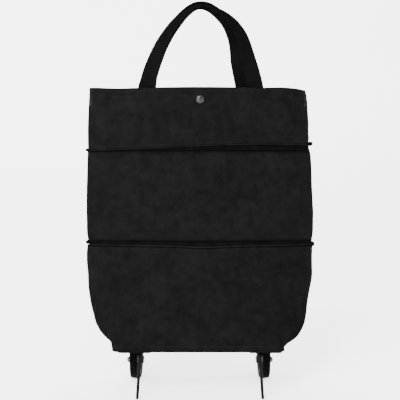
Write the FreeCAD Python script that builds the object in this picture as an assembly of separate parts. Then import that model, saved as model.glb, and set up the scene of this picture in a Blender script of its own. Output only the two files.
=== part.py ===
"""Two-wheeled folding shopping trolley bag, in millimetres.

A soft tote hangs from two webbing handles. An all-round zip shortens it: the
upper zip half hangs below the top section, the lower half stands above the
lower section, and the middle section between them tucks away when they meet.
A stiff tray in the base carries one hinge plate at each side. Each plate holds
a wheel bracket at the rear and a wire leg at the front, and both swing inwards
about one fore-and-aft line to lie flat under the base.

Frame: +Z up, the front faces -Y, the floor is Z = 0, and the origin is the
middle of the footprint.
"""
import FreeCAD, Part
import math
import os

V = FreeCAD.Vector
UP = V(0, 0, 1)
ALONG_X = V(1, 0, 0)
ALONG_Y = V(0, 1, 0)

# ---------------------------------------------------------------- bag cloth
CLOTH = 2.5                    # cloth, lining and seam allowance together
BASE_HALF_WIDTH = 129.0
BASE_HALF_DEPTH = 51.0
BASE_CORNER_R = 12.0
BASE_CROWN = 0.8               # how far the long base edges bow outwards
BASE_PANEL = 2.0               # bottom panel's thickness
FLAT_HALF_WIDTH = 179.0        # half the width where the bag lies flat
FLAT_HALF_DEPTH = 22.0
RIM_HALF_WIDTH = 172.0
RIM_HALF_DEPTH = 25.0
LOWER_HEIGHT = 157.0           # bottom panel's underside to the lower zip seam
MIDDLE_HEIGHT = 155.0          # lower zip seam to upper zip seam
TOP_HEIGHT = 91.5              # upper zip seam to the rim
TIP_FACTOR = 3.0               # the cloth is this much thicker along X at the pointed sides

# the lower section's swell: (share of its height, half-width share, half-depth share, flatness)
# shares of width run from the base to the flat width, flatness from boxed (0) to lens (1)
SWELL = (
    (0.075, 0.09, 1.00, 0.00),
    (0.105, 0.18, 1.02, 0.10),
    (0.135, 0.42, 1.04, 0.25),
    (0.165, 0.56, 1.05, 0.40),
    (0.210, 0.67, 1.05, 0.52),
    (0.270, 0.78, 1.02, 0.64),
    (0.390, 0.87, 0.92, 0.80),
    (0.570, 0.96, 0.74, 0.93),
    (0.800, 1.00, 0.54, 1.00),
)

# ---------------------------------------------------------------- hem, press stud
HEM_HEIGHT = 26.0
FACING = 1.5
FACING_GAP = 0.1
STUD_BELOW_RIM = 19.5
STUD_CAP_R = 6.2
STUD_CAP_HEIGHT = 2.6
STUD_POST_R = 2.0
STUD_SOCKET_R = 5.2
STUD_SOCKET_HEIGHT = 3.0
STUD_NIPPLE_R = 1.9
STUD_NIPPLE_HEIGHT = 2.4
STUD_AIR = 0.25                # cap to cloth, which curves under it

# ---------------------------------------------------------------- handles
STRAP_WIDTH = 25.0
STRAP_THICK = 2.2
FRONT_HANDLE_RISE = 128.5      # rim to the middle of the strap at the top of the arch
BACK_HANDLE_RISE = 137.5
STRAP_ROLL = 8.0               # degrees that both straps lean backwards at the top
FRONT_HANDLE_ENDS = (-85.0, 87.0)
BACK_HANDLE_ENDS = (-85.0, 71.0)
ARCH_LEFT_FULLNESS = 1.53      # 1 is a straight gable, 2 an ellipse
ARCH_RIGHT_FULLNESS = 1.87
TAIL_LENGTH = 30.0
STRAP_GAP = 0.8                # tail to handle, where the strap bends
STRAP_TO_FACING = 0.2
HANDLE_SECTIONS = 18

# ---------------------------------------------------------------- zip
TAPE_VISIBLE = 6.0
TAPE_OUTER = 0.8               # depth of the tape's outer face below the cloth's
TAPE_THICK = 1.2
COIL_HEIGHT = 3.0
COIL_PROUD = 0.6
COIL_DEPTH = 2.4
MIDDLE_INSET = 3.8             # the middle section behind the tapes and the slider
MIDDLE_SWELL_INSET = 0.2       # and where it stands free
MIDDLE_EASE = 15.0             # height over which it swells
MIDDLE_AIR = 4.0               # coil to the start of the swell
MIDDLE_CLOTH = 2.0
MIDDLE_TUCK = 6.0
SLIDER_LENGTH = 10.0
SLIDER_PLATE = 0.8
SLIDER_AIR = 0.3
SLIDER_POST = 2.6
SLIDER_COVER = 2.2             # how far the plates cover the tape
SLIDER_X = 118.0
SLIDER_BRIDGE_PROUD = 2.4
PULL_LENGTH = 24.0
PULL_WIDTH = 6.5
PULL_THICK = 1.0
PULL_PIN_R = 0.7
PULL_PIN_AIR = 0.08
PULL_END = 0.9                 # metal past the pin, short enough to turn by the plate

# ---------------------------------------------------------------- tray and insert
TRAY = 2.0
TRAY_LIP = 9.0
TRAY_GAP = 0.4
INSERT = 2.0
INSERT_GAP = 1.0

# ---------------------------------------------------------------- hinge plates
PLATE = 2.0
PLATE_TO_BASE_END = 5.0
PLATE_TO_BASE_SIDE = 2.0
PIN_TO_OUTER_EDGE = 34.0
PIN_TO_INNER_EDGE = 16.0
PLATE_CORNER_R = 4.0
PIN_R = 1.5
PIN_FIT = 0.02
PIN_RUN = 0.05
KNUCKLE_WALL = 1.5
KNUCKLE = 5.0
SCREW_R = 2.0
SCREW_HEAD = 2.0                # head past the shank
SCREW_HOLE_AIR = 0.2
SCREW_TO_INNER_EDGE = 7.0
SCREW_TO_OUTER_EDGE = 9.0
SCREW_TO_END = 9.0
SCREW_THREAD_AIR = 0.03
SCREW_PAST_NUT = 0.6
NUT_WALL = 2.0
NUT_HEIGHT = 3.2

# ---------------------------------------------------------------- wheels
WHEEL_R = 30.0
WHEEL_PAST_PIN = 15.5
WHEEL_BEHIND_BRACKET = 2.0
TYRE_TO_BRIDGE = 4.2
TYRE_HALF_WIDTH = 8.0
TYRE_RIDGE = 0.7
TYRE_RIDGE_HALF_WIDTH = 1.2
TYRE_EDGE = 1.4
TYRE_HEIGHT = 9.0
HUB_RIM = 3.5
HUB_RIM_HALF_WIDTH = 7.0
HUB_WEB_HALF = 2.0
HUB_BOSS_WALL = 2.45
HUB_HOLES = 5
HUB_HOLE_WALL = 2.3
BUSH_WALL = 1.0
AXLE_R = 3.0
AXLE_RUN = 0.05
AXLE_HEAD_STEP = 2.5
AXLE_HEAD = 1.8
CAP_NUT_WALL = 2.0
CAP_NUT_HEIGHT = 5.5
CHEEK = 1.5
CHEEK_AIR = 1.2
BOSS_AIR = 0.2
CHEEK_END_R = 7.5
BRIDGE_AIR = 0.3
BRACKET_TOP_LENGTH = 28.0
BRACKET_TO_PLATE_END = 21.0    # middle of the bracket to the back of the plate
BARREL_WALL = 1.2
WASHER = 0.6
WASHER_AIR = 0.1
WASHER_WALL = 1.4

# ---------------------------------------------------------------- wire legs
WIRE_R = 2.3
LEG_KNUCKLE_WALL = 1.2
LEG_SPLAY = 3.4                # degrees outwards, so a load holds the leg open
LEG_KNUCKLE = 6.0
LEG_KNUCKLE_PITCH = 28.0       # front knuckle to back knuckle
LEG_BEND_ROOM = 1.5            # knuckle to where the wire starts to bend
LEG_FOOT_FORWARD = 4.75        # the foot stands this far ahead of the wire's top
LEG_TOP_BEND = 4.0
LEG_HEAD = 1.4                 # the wire's back end is upset into a small head
LEG_HEAD_STEP = 0.7
LEG_HEAD_AIR = 0.3
LEG_STOP_DROP = 12.0
LEG_STOP_AIR = 0.3
LEG_STOP = 1.6
LEG_STOP_HALF_WIDTH = 3.0
LEG_STOP_ROOT = 6.0            # how far back the stop is welded under the plate

# ---------------------------------------------------------------- levels
BRIDGE_TOP_Z = 2 * WHEEL_R + TYRE_TO_BRIDGE + CHEEK
BASE_Z = BRIDGE_TOP_Z + BRIDGE_AIR + PLATE
LOWER_SEAM_Z = BASE_Z + LOWER_HEIGHT
UPPER_SEAM_Z = LOWER_SEAM_Z + MIDDLE_HEIGHT
RIM_Z = UPPER_SEAM_Z + TOP_HEIGHT
STUD_Z = RIM_Z - STUD_BELOW_RIM

# ---------------------------------------------------------------- places under the base
KNUCKLE_R = PIN_R + KNUCKLE_WALL
BARREL_R = PIN_R + BARREL_WALL
WASHER_R = PIN_R + WASHER_WALL
PIN_Z = BASE_Z - PLATE - KNUCKLE_R
PLATE_HALF_LENGTH = BASE_HALF_DEPTH - PLATE_TO_BASE_SIDE
PLATE_OUTER_X = BASE_HALF_WIDTH - PLATE_TO_BASE_END
PIN_X = PLATE_OUTER_X - PIN_TO_OUTER_EDGE
PLATE_INNER_X = PIN_X - PIN_TO_INNER_EDGE
SCREW_HEAD_R = SCREW_R + SCREW_HEAD
NUT_R = SCREW_R + NUT_WALL
BRACKET_Y = PLATE_HALF_LENGTH - BRACKET_TO_PLATE_END
WHEEL_X = PIN_X + WHEEL_PAST_PIN
WHEEL_Y = BRACKET_Y + WHEEL_BEHIND_BRACKET
HUB_R = WHEEL_R - TYRE_HEIGHT
HUB_BOSS_R = AXLE_R + AXLE_RUN + BUSH_WALL + HUB_BOSS_WALL
AXLE_HEAD_R = AXLE_R + AXLE_HEAD_STEP
CAP_NUT_R = AXLE_R + CAP_NUT_WALL
LEG_KNUCKLE_FRONT = -PLATE_HALF_LENGTH
LEG_KNUCKLE_BACK = LEG_KNUCKLE_FRONT + LEG_KNUCKLE_PITCH
LEG_TOP_FRONT_Y = LEG_KNUCKLE_FRONT - LEG_BEND_ROOM - LEG_TOP_BEND
LEG_HEAD_Y = LEG_KNUCKLE_BACK + LEG_KNUCKLE + LEG_HEAD_AIR


# ================================================================ helpers
def save(shape, name):
    """Writes one node, and says what it holds."""
    if not shape.isValid():
        print("not valid:", name)
    shape.exportStep("parts/%s.step" % name)
    print("%-24s solids %d  volume %.1f" % (name, len(shape.Solids), shape.Volume))


def save_pair(shape, name):
    """Writes the right-hand piece and its mirror image."""
    save(shape, name + "_right")
    save(shape.mirror(V(0, 0, 0), ALONG_X), name + "_left")


def box(x0, x1, y0, y1, z0, z1):
    return Part.makeBox(x1 - x0, y1 - y0, z1 - z0, V(x0, y0, z0))


def rod_y(radius, x, z, y0, y1):
    return Part.makeCylinder(radius, y1 - y0, V(x, y0, z), ALONG_Y)


def rod_x(radius, y, z, x0, x1):
    return Part.makeCylinder(radius, x1 - x0, V(x0, y, z), ALONG_X)


def lens_y(x, half_width, half_depth):
    """Half-depth of a lens of two equal arcs, at x."""
    radius = (half_width ** 2 + half_depth ** 2) / (2 * half_depth)
    return math.sqrt(max(radius ** 2 - x ** 2, 0.0)) - (radius - half_depth)


def section(half_width, half_depth, flatness, z, inset=0.0):
    """One closed level line of the bag: boxed with round corners at flatness 0,
    a lens with pointed sides at flatness 1, in ten edges at every level."""
    a = half_width - inset * (1 + (TIP_FACTOR - 1) * flatness)
    b = half_depth - inset
    r = max(BASE_CORNER_R - inset, 2.0)
    turn = r * (1 - math.sqrt(0.5))
    boxed = ((a - r, b - BASE_CROWN), (a - turn, b - BASE_CROWN - turn), (a, b - BASE_CROWN - r))
    lens = [(share * a, lens_y(share * a, a, b)) for share in (0.75, 0.86, 0.95)]
    front, corner, end = [
        (p[0] + flatness * (q[0] - p[0]), p[1] + flatness * (q[1] - p[1]))
        for p, q in zip(boxed, lens)
    ]

    def at(point, sx, sy):
        return V(sx * point[0], sy * point[1], z)

    def arc(p, q, s):
        return Part.Arc(p, q, s).toShape()

    tip_right, tip_left = V(a, 0, z), V(-a, 0, z)
    edges = [
        arc(at(front, -1, -1), V(0, -b, z), at(front, 1, -1)),
        arc(at(front, 1, -1), at(corner, 1, -1), at(end, 1, -1)),
        Part.makeLine(at(end, 1, -1), tip_right),
        Part.makeLine(tip_right, at(end, 1, 1)),
        arc(at(end, 1, 1), at(corner, 1, 1), at(front, 1, 1)),
        arc(at(front, 1, 1), V(0, b, z), at(front, -1, 1)),
        arc(at(front, -1, 1), at(corner, -1, 1), at(end, -1, 1)),
        Part.makeLine(at(end, -1, 1), tip_left),
        Part.makeLine(tip_left, at(end, -1, -1)),
        arc(at(end, -1, -1), at(corner, -1, -1), at(front, -1, -1)),
    ]
    return Part.Wire(edges)


def tube(levels, inset_out, inset_in, overrun=1.0):
    """A cloth tube through the levels, open at both ends."""
    outer = Part.makeLoft([section(*lv, inset=inset_out) for lv in levels], True, True)
    first, last = levels[0], levels[-1]
    through = [first[:3] + (first[3] - overrun,)] + levels + [last[:3] + (last[3] + overrun,)]
    inner = Part.makeLoft([section(*lv, inset=inset_in) for lv in through], True, True)
    return outer.cut(inner)


def flat_ring(z0, z1, inset_out, inset_in):
    """A band round the flat part of the bag, where every level is the same lens."""
    def slab(inset, low, high):
        wire = section(FLAT_HALF_WIDTH, FLAT_HALF_DEPTH, 1.0, low, inset)
        return Part.Face(wire).extrude(V(0, 0, high - low))
    return slab(inset_out, z0, z1).cut(slab(inset_in, z0 - 1, z1 + 1))


# ================================================================ cloth body
def lower_levels():
    base = (BASE_HALF_WIDTH, BASE_HALF_DEPTH, 0.0, BASE_Z + BASE_PANEL)
    levels = [base]
    for height, wide, deep, flat in SWELL:
        half_width = BASE_HALF_WIDTH + wide * (FLAT_HALF_WIDTH - BASE_HALF_WIDTH)
        half_depth = BASE_HALF_DEPTH * deep
        levels.append((half_width, half_depth, flat, BASE_Z + height * LOWER_HEIGHT))
    levels.append((FLAT_HALF_WIDTH, FLAT_HALF_DEPTH, 1.0, LOWER_SEAM_Z))
    return levels


def middle_levels():
    """Tucked in behind both zip halves, and as wide as its neighbours between."""
    def level(inset, z):
        return FLAT_HALF_WIDTH - TIP_FACTOR * inset, FLAT_HALF_DEPTH - inset, 1.0, z
    low = LOWER_SEAM_Z + TAPE_VISIBLE + COIL_HEIGHT + MIDDLE_AIR
    high = UPPER_SEAM_Z - TAPE_VISIBLE - COIL_HEIGHT - MIDDLE_AIR
    return [
        level(MIDDLE_INSET, LOWER_SEAM_Z - MIDDLE_TUCK),
        level(MIDDLE_INSET, low),
        level(MIDDLE_SWELL_INSET, low + MIDDLE_EASE),
        level(MIDDLE_SWELL_INSET, high - MIDDLE_EASE),
        level(MIDDLE_INSET, high),
        level(MIDDLE_INSET, UPPER_SEAM_Z + MIDDLE_TUCK),
    ]


def top_levels():
    return [
        (FLAT_HALF_WIDTH, FLAT_HALF_DEPTH, 1.0, UPPER_SEAM_Z),
        (RIM_HALF_WIDTH, RIM_HALF_DEPTH, 1.0, RIM_Z),
    ]


def top_at(z):
    """Half-width and half-depth of the top section at a height."""
    share = (z - UPPER_SEAM_Z) / TOP_HEIGHT
    half_width = FLAT_HALF_WIDTH + share * (RIM_HALF_WIDTH - FLAT_HALF_WIDTH)
    half_depth = FLAT_HALF_DEPTH + share * (RIM_HALF_DEPTH - FLAT_HALF_DEPTH)
    return half_width, half_depth


def screw_places():
    return [
        (x, y)
        for x in (PLATE_INNER_X + SCREW_TO_INNER_EDGE, PLATE_OUTER_X - SCREW_TO_OUTER_EDGE)
        for y in (-PLATE_HALF_LENGTH + SCREW_TO_END, PLATE_HALF_LENGTH - SCREW_TO_END)
    ]


def screw_holes(z0, z1):
    radius = SCREW_R + SCREW_HOLE_AIR
    holes = [Part.makeCylinder(radius, z1 - z0, V(x, y, z0)) for x, y in screw_places()]
    return Part.makeCompound(holes + [h.mirror(V(0, 0, 0), ALONG_X) for h in holes])


def stud_hole(z=STUD_Z):
    """One hole through both walls for the press stud's posts."""
    reach = RIM_HALF_DEPTH * 2
    return Part.makeCylinder(STUD_POST_R + PIN_RUN, 2 * reach, V(0, -reach, z), ALONG_Y)


def make_cloth():
    save(tube(lower_levels(), 0.0, CLOTH), "lower_section")

    outline = section(BASE_HALF_WIDTH, BASE_HALF_DEPTH, 0.0, BASE_Z)
    panel = Part.Face(outline).extrude(V(0, 0, BASE_PANEL))
    save(panel.cut(screw_holes(BASE_Z - 1, BASE_Z + BASE_PANEL + 1)), "base_panel")

    save(tube(middle_levels(), 0.0, MIDDLE_CLOTH), "middle_section")

    save(tube(top_levels(), 0.0, CLOTH).cut(stud_hole()), "top_section")

    low = RIM_Z - HEM_HEIGHT
    facing_levels = [top_at(low) + (1.0, low), (RIM_HALF_WIDTH, RIM_HALF_DEPTH, 1.0, RIM_Z)]
    inset = CLOTH + FACING_GAP
    save(tube(facing_levels, inset, inset + FACING).cut(stud_hole()), "hem_facing")


# ================================================================ press stud
def make_press_stud():
    """Cap and socket rivet on the front wall, post and nipple rivet on the back."""
    wall = top_at(STUD_Z)[1]
    outside = wall + STUD_AIR
    inside = wall - CLOTH - FACING_GAP - FACING - STUD_AIR
    at_front = V(0, -outside, STUD_Z)

    def dome(radius, height, place, direction):
        """A low cap: a slice off a ball, on a thin rolled edge."""
        edge = 0.6
        rise = height - edge
        ball_r = (radius ** 2 + rise ** 2) / (2 * rise)
        disc = Part.makeCylinder(radius, edge, place, direction)
        centre = place + direction * (height - ball_r)
        ball = Part.makeSphere(ball_r, centre)
        keep = Part.makeCylinder(radius, rise, place + direction * edge, direction)
        return disc.fuse(ball.common(keep))

    front_out, back_out = V(0, -1, 0), V(0, 1, 0)
    socket_seat = V(0, -inside, STUD_Z)
    post_end = -inside + STUD_SOCKET_HEIGHT * 0.5
    cap_post = rod_y(STUD_POST_R, 0, STUD_Z, -outside, post_end)
    save(dome(STUD_CAP_R, STUD_CAP_HEIGHT, at_front, front_out).fuse(cap_post), "stud_cap")

    socket = Part.makeCylinder(STUD_SOCKET_R, STUD_SOCKET_HEIGHT, socket_seat, back_out)
    mouth = Part.makeCylinder(STUD_NIPPLE_R + 0.3, STUD_SOCKET_HEIGHT, socket_seat, back_out)
    bore = rod_y(STUD_POST_R + PIN_FIT, 0, STUD_Z, -inside - 1, post_end + PIN_FIT)
    save(socket.cut(mouth).cut(bore), "stud_socket")

    back_at = V(0, outside, STUD_Z)
    back_post = rod_y(STUD_POST_R, 0, STUD_Z, inside - STUD_NIPPLE_HEIGHT * 0.4, outside)
    save(dome(STUD_CAP_R, STUD_CAP_HEIGHT, back_at, back_out).fuse(back_post), "stud_back_cap")

    seat = V(0, inside, STUD_Z)
    flange = Part.makeCylinder(STUD_SOCKET_R, STUD_NIPPLE_HEIGHT * 0.5, seat, front_out)
    nipple = Part.makeCylinder(STUD_NIPPLE_R + 0.6, STUD_NIPPLE_HEIGHT, seat, front_out)
    bore = rod_y(STUD_POST_R + PIN_FIT, 0, STUD_Z,
                 inside - STUD_NIPPLE_HEIGHT * 0.4 - PIN_FIT, inside + 1)
    save(flange.fuse(nipple).cut(bore), "stud_nipple")


# ================================================================ handles
def arch_point(angle, ends, height):
    """Centre line of a handle, from one end at angle 0, over the top at a quarter
    turn, to the other end at half a turn."""
    middle = (ends[0] + ends[1]) / 2
    half_span = (ends[1] - ends[0]) / 2
    side = math.cos(angle)
    power = 2 / (ARCH_LEFT_FULLNESS if side > 0 else ARCH_RIGHT_FULLNESS)
    x = middle - half_span * math.copysign(abs(side) ** power, side)
    rise = max(math.sin(angle), 0.0) ** power
    foot = RIM_Z + STRAP_GAP
    return V(x, 0, foot + (height - STRAP_GAP) * rise)


def strap_depth(ends):
    """How far the strap's middle stands from the bag's middle plane at the rim."""
    reach = max(abs(ends[0]), abs(ends[1])) + STRAP_WIDTH / 2
    wall = lens_y(reach, RIM_HALF_WIDTH, RIM_HALF_DEPTH)
    return wall - CLOTH - FACING_GAP - FACING - STRAP_TO_FACING - STRAP_THICK / 2


def strap_section(centre, across, thick_way):
    u = across * (STRAP_WIDTH / 2)
    w = thick_way * (STRAP_THICK / 2)
    corners = [centre + u + w, centre - u + w, centre - u - w, centre + u - w]
    return Part.makePolygon(corners + [corners[0]])


def handle(ends, height, side):
    """A webbing arch. Its face looks outwards at the rim and upwards at the top.
    side is -1 for the front handle and +1 for the back one."""
    full_twist = math.radians(90 + side * STRAP_ROLL)
    depth = strap_depth(ends)
    top_depth = STRAP_WIDTH / 2 + STRAP_THICK / 2
    angles = [math.pi * i / HANDLE_SECTIONS for i in range(HANDLE_SECTIONS + 1)]
    points = [arch_point(t, ends, height) for t in angles]
    lengths = [0.0]
    for p, q in zip(points, points[1:]):
        lengths.append(lengths[-1] + (q - p).Length)
    rings = []
    for i, point in enumerate(points):
        before, after = points[max(i - 1, 0)], points[min(i + 1, HANDLE_SECTIONS)]
        along = (after - before).normalize()
        if i in (0, HANDLE_SECTIONS):
            along = V(0, 0, math.copysign(1.0, along.z))
        inward = V(along.z, 0, -along.x)
        share = 1 - abs(2 * lengths[i] / lengths[-1] - 1)
        twist = full_twist * share
        across = inward * math.cos(twist) + V(0, side, 0) * math.sin(twist)
        facing = across.cross(along)
        y = side * (depth + share * (top_depth - depth))
        rings.append(strap_section(point + V(0, y, 0), across, facing))
    return Part.makeLoft(rings, True, True)


def handle_tails(ends, side):
    """The sewn ends of one strap, inside the hem."""
    depth = side * strap_depth(ends)
    tails = []
    for end, away in ((ends[0], -1), (ends[1], 1)):
        tail = box(-STRAP_WIDTH / 2, STRAP_WIDTH / 2, -STRAP_THICK / 2, STRAP_THICK / 2,
                   -TAIL_LENGTH, 0)
        tail.translate(V(end, depth, RIM_Z))
        tails.append(tail)
    return tails


def make_handles():
    save(handle(FRONT_HANDLE_ENDS, FRONT_HANDLE_RISE, -1), "handle_front")
    save(handle(BACK_HANDLE_ENDS, BACK_HANDLE_RISE, 1), "handle_back")
    tails = handle_tails(FRONT_HANDLE_ENDS, -1) + handle_tails(BACK_HANDLE_ENDS, 1)
    save(Part.makeCompound(tails), "handle_tails")


# ================================================================ zip
FLAT_ARC_R = (FLAT_HALF_WIDTH ** 2 + FLAT_HALF_DEPTH ** 2) / (2 * FLAT_HALF_DEPTH)
FLAT_ARC_OFFSET = FLAT_ARC_R - FLAT_HALF_DEPTH
SLIDER_TURN = -math.degrees(math.asin(SLIDER_X / FLAT_ARC_R))


def on_back_arc(shape, turn=SLIDER_TURN):
    """Swings a piece made at the middle of the back along the bag's back arc."""
    placed = shape.copy()
    placed.rotate(V(0, -FLAT_ARC_OFFSET, 0), UP, turn)
    return placed


def make_zip():
    tape_in = TAPE_OUTER + TAPE_THICK
    coil_in = COIL_DEPTH - COIL_PROUD
    tape_low = UPPER_SEAM_Z - TAPE_VISIBLE
    coil_low = tape_low - COIL_HEIGHT
    save(flat_ring(tape_low, UPPER_SEAM_Z, TAPE_OUTER, tape_in), "zip_tape_upper")
    save(flat_ring(coil_low, tape_low, -COIL_PROUD, coil_in), "zip_coil_upper")

    tape_high = LOWER_SEAM_Z + TAPE_VISIBLE
    save(flat_ring(LOWER_SEAM_Z, tape_high, TAPE_OUTER, tape_in), "zip_tape_lower")
    save(flat_ring(tape_high, tape_high + COIL_HEIGHT, -COIL_PROUD, coil_in), "zip_coil_lower")

    # slider: two plates and a post, round the upper coil at the back
    half = SLIDER_LENGTH / 2
    face = FLAT_HALF_DEPTH + COIL_PROUD + SLIDER_AIR
    back = FLAT_HALF_DEPTH - coil_in - SLIDER_AIR
    low = coil_low - SLIDER_AIR - SLIDER_POST
    high = tape_low + SLIDER_COVER
    outer_plate = box(-half, half, face, face + SLIDER_PLATE, low, high)
    inner_plate = box(-half, half, back - SLIDER_PLATE, back, low, high)
    post = box(-half * 0.5, half * 0.5, back, face, low, low + SLIDER_POST)
    plates = outer_plate.fuse([inner_plate, post])
    bridge_low = coil_low + 0.2
    bridge_high = tape_low + SLIDER_COVER - 0.4
    top = face + SLIDER_PLATE
    bridge = box(-1.2, 1.2, top, top + SLIDER_BRIDGE_PROUD + 0.9, bridge_low, bridge_high)
    eye_y = top + 1.3
    eye_z = (bridge_low + bridge_high) / 2
    eye = rod_x(PULL_PIN_R + PULL_PIN_AIR, eye_y, eye_z, -2, 2)
    save(on_back_arc(plates.fuse(bridge).cut(eye)), "zip_slider")

    # pull: a flat tab with a slot that clears the bridge and a pin through its eye
    thick = PULL_THICK / 2
    tab = box(-PULL_WIDTH / 2, PULL_WIDTH / 2, eye_y - thick, eye_y + thick,
              eye_z - PULL_LENGTH, eye_z + PULL_END)
    slot = box(-1.6, 1.6, eye_y - 3, eye_y + 3, eye_z - 4.2, eye_z + 4.2)
    pin = rod_x(PULL_PIN_R, eye_y, eye_z, -PULL_WIDTH / 2 + 0.4, PULL_WIDTH / 2 - 0.4)
    hole = rod_y(1.4, 0, eye_z - PULL_LENGTH + 4.0, eye_y - 3, eye_y + 3)
    pull = tab.cut(slot).cut(hole).fuse(pin).removeSplitter()
    save(on_back_arc(pull), "zip_pull")

    print("slider arc centre y %.2f radius %.2f turn %.2f" %
          (-FLAT_ARC_OFFSET, FLAT_ARC_R, SLIDER_TURN))
    print("pull pin before the turn: y %.2f z %.2f" % (eye_y, eye_z))


# ================================================================ base
def make_base():
    inset = CLOTH + TRAY_GAP
    floor = BASE_Z + BASE_PANEL
    outline = section(BASE_HALF_WIDTH, BASE_HALF_DEPTH, 0.0, floor, inset)
    hollow = section(BASE_HALF_WIDTH, BASE_HALF_DEPTH, 0.0, floor + TRAY, inset + TRAY)
    tray = Part.Face(outline).extrude(V(0, 0, TRAY_LIP))
    tray = tray.cut(Part.Face(hollow).extrude(V(0, 0, TRAY_LIP)))
    save(tray.cut(screw_holes(floor - 1, floor + TRAY + 1)), "base_tray")

    level = floor + TRAY + NUT_HEIGHT + SCREW_PAST_NUT + 0.2
    outline = section(BASE_HALF_WIDTH, BASE_HALF_DEPTH, 0.0, level, inset + TRAY + INSERT_GAP)
    save(Part.Face(outline).extrude(V(0, 0, INSERT)), "base_insert")


def make_hinge_plate():
    low = BASE_Z - PLATE
    half = PLATE_HALF_LENGTH
    plate = box(PLATE_INNER_X, PLATE_OUTER_X, -half, half, low, BASE_Z)
    upright = [e for e in plate.Edges if abs(e.tangentAt(e.FirstParameter).z) > 0.9]
    plate = plate.makeFillet(PLATE_CORNER_R, upright)

    wheel_front = BRACKET_Y - BRACKET_TOP_LENGTH / 2 - WASHER - 2 * WASHER_AIR
    wheel_back = BRACKET_Y + BRACKET_TOP_LENGTH / 2 + WASHER + 2 * WASHER_AIR
    leg_r = WIRE_R + LEG_KNUCKLE_WALL
    spans = [
        (LEG_KNUCKLE_FRONT, LEG_KNUCKLE_FRONT + LEG_KNUCKLE, leg_r, WIRE_R + PIN_RUN),
        (LEG_KNUCKLE_BACK, LEG_KNUCKLE_BACK + LEG_KNUCKLE, leg_r, WIRE_R + PIN_RUN),
        (wheel_front - KNUCKLE, wheel_front, KNUCKLE_R, PIN_R + PIN_FIT),
        (wheel_back, wheel_back + KNUCKLE, KNUCKLE_R, PIN_R + PIN_FIT),
    ]
    for y0, y1, outer_r, bore_r in spans:
        web = box(PIN_X - outer_r, PIN_X + outer_r, y0, y1, PIN_Z, low)
        plate = plate.fuse([rod_y(outer_r, PIN_X, PIN_Z, y0, y1), web])
    for y0, y1, outer_r, bore_r in spans:
        plate = plate.cut(rod_y(bore_r, PIN_X, PIN_Z, y0 - 0.5, y1 + 0.5))

    lean = math.tan(math.radians(LEG_SPLAY))
    stop_x = PIN_X + WIRE_R + LEG_STOP_AIR + (LEG_STOP_DROP - KNUCKLE_R) * lean
    stop = box(stop_x, stop_x + LEG_STOP, LEG_TOP_FRONT_Y - LEG_STOP_HALF_WIDTH,
               LEG_KNUCKLE_FRONT + LEG_STOP_ROOT, low - LEG_STOP_DROP, low)
    plate = plate.fuse(stop)

    for x, y in screw_places():
        cone = Part.makeCone(SCREW_HEAD_R, SCREW_R, PLATE, V(x, y, low))
        bore = Part.makeCylinder(SCREW_R + SCREW_THREAD_AIR, PLATE + 2, V(x, y, low - 1))
        plate = plate.cut(cone).cut(bore)
    save_pair(plate.removeSplitter(), "hinge_plate")

    # flush screws from below, nuts inside the tray
    nut_low = BASE_Z + BASE_PANEL + TRAY
    end = nut_low + NUT_HEIGHT + SCREW_PAST_NUT
    screws, nuts = [], []
    for x, y in screw_places():
        head = Part.makeCone(SCREW_HEAD_R - 0.05, SCREW_R, PLATE - 0.05, V(x, y, low + 0.02))
        shank = Part.makeCylinder(SCREW_R, end - low - 0.1, V(x, y, low + 0.1))
        cross = [Part.makeBox(3.2, 0.7, 0.8, V(x - 1.6, y - 0.35, low)),
                 Part.makeBox(0.7, 3.2, 0.8, V(x - 0.35, y - 1.6, low))]
        screws.append(head.fuse(shank).cut(cross[0].fuse(cross[1])))
        hexagon = [V(x + NUT_R * math.cos(math.radians(60 * k)),
                     y + NUT_R * math.sin(math.radians(60 * k)), nut_low) for k in range(7)]
        nut = Part.Face(Part.makePolygon(hexagon)).extrude(V(0, 0, NUT_HEIGHT))
        nut_bore = Part.makeCylinder(SCREW_R + SCREW_THREAD_AIR, NUT_HEIGHT + 2,
                                     V(x, y, nut_low - 1))
        nuts.append(nut.cut(nut_bore))
    save_pair(Part.makeCompound(screws), "plate_screws")
    save_pair(Part.makeCompound(nuts), "plate_nuts")

    # hinge pin with two peened heads, and its friction washers
    pin = rod_y(PIN_R, PIN_X, PIN_Z, wheel_front - KNUCKLE - 0.3, wheel_back + KNUCKLE + 0.3)
    for place, way in ((wheel_front - KNUCKLE - 0.1, -1), (wheel_back + KNUCKLE + 0.1, 1)):
        head = Part.makeCone(PIN_R + 1.0, PIN_R + 0.3, 1.0, V(PIN_X, place, PIN_Z), V(0, way, 0))
        pin = pin.fuse(head)
    save_pair(pin, "hinge_pin")

    washers = []
    for y0 in (wheel_front + WASHER_AIR, wheel_back - WASHER_AIR - WASHER):
        ring = rod_y(WASHER_R, PIN_X, PIN_Z, y0, y0 + WASHER)
        washers.append(ring.cut(rod_y(PIN_R + PIN_RUN, PIN_X, PIN_Z, y0 - 1, y0 + WASHER + 1)))
    save_pair(Part.makeCompound(washers), "friction_washers")


# ================================================================ wheels
INNER_CHEEK_X = WHEEL_X - TYRE_HALF_WIDTH - CHEEK_AIR - CHEEK
OUTER_CHEEK_X = WHEEL_X + TYRE_HALF_WIDTH + CHEEK_AIR
BOSS_HALF = TYRE_HALF_WIDTH + CHEEK_AIR - BOSS_AIR


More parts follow.
